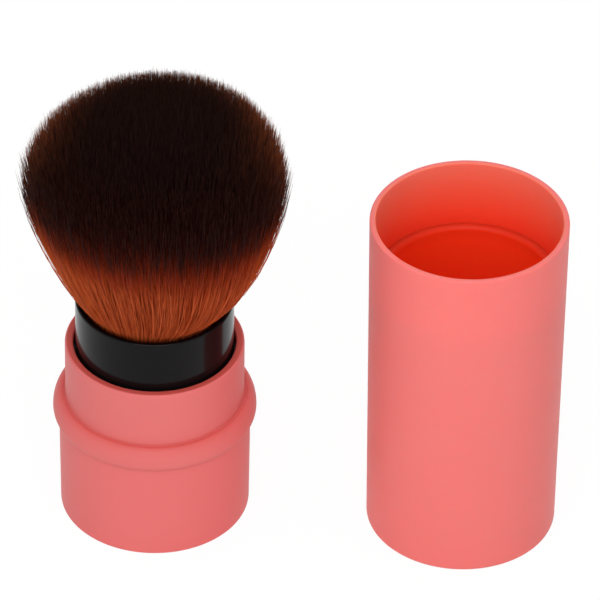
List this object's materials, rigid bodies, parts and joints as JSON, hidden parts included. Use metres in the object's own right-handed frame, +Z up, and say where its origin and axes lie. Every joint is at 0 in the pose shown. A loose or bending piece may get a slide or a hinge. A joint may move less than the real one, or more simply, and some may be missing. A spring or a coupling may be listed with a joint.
{
  "type": "capped kabuki powder brush",
  "caption": "Short domed powder and blush brush whose core slides in a coral push-up handle with a flanged collar, standing beside its removed tall cap.",
  "frame": {"origin": "on the surface that the set stands on, below the middle of the bounding box of brush and cap together", "axes": "+X from the brush to the cap, +Y away from the viewer of the picture, +Z up along both axes"},
  "size_m": [0.1156, 0.057, 0.102],
  "materials": {
    "coral_plastic": "satin moulded coral-pink plastic",
    "coral_inner": "satin moulded coral plastic, which looks deeper inside the cap",
    "black_plastic": "satin black plastic",
    "black_gloss": "glossy black ferrule",
    "black_rubber": "matt rubber",
    "amber_resin": "set epoxy resin",
    "brown_bristle": "soft synthetic hair, orange-brown at the roots and near black at the tips"
  },
  "bodies": {
    "base": {"handle_shell": "coral_plastic", "collar_sleeve": "coral_plastic", "base_ring": "coral_plastic"},
    "core": {"slider_cup": "black_plastic", "push_plate": "coral_plastic", "friction_ring_lower": "black_rubber", "friction_ring_upper": "black_rubber", "ferrule": "black_gloss", "root_plug": "amber_resin", "bristles": "brown_bristle"},
    "cap": {"cap_shell": "coral_plastic", "cap_liner": "coral_inner"}
  },
  "joints": [
    {"name": "brush_retract", "type": "slide", "parent": "base", "child": "core", "axis": [0, 0, 1], "range_m": [-0.0235, 0], "deforming": ["bristles"]},
    {"name": "cap_lift", "type": "slide", "parent": "base", "child": "cap", "axis": [0, 0, 1], "range_m": [0, 0.12]}
  ]
}
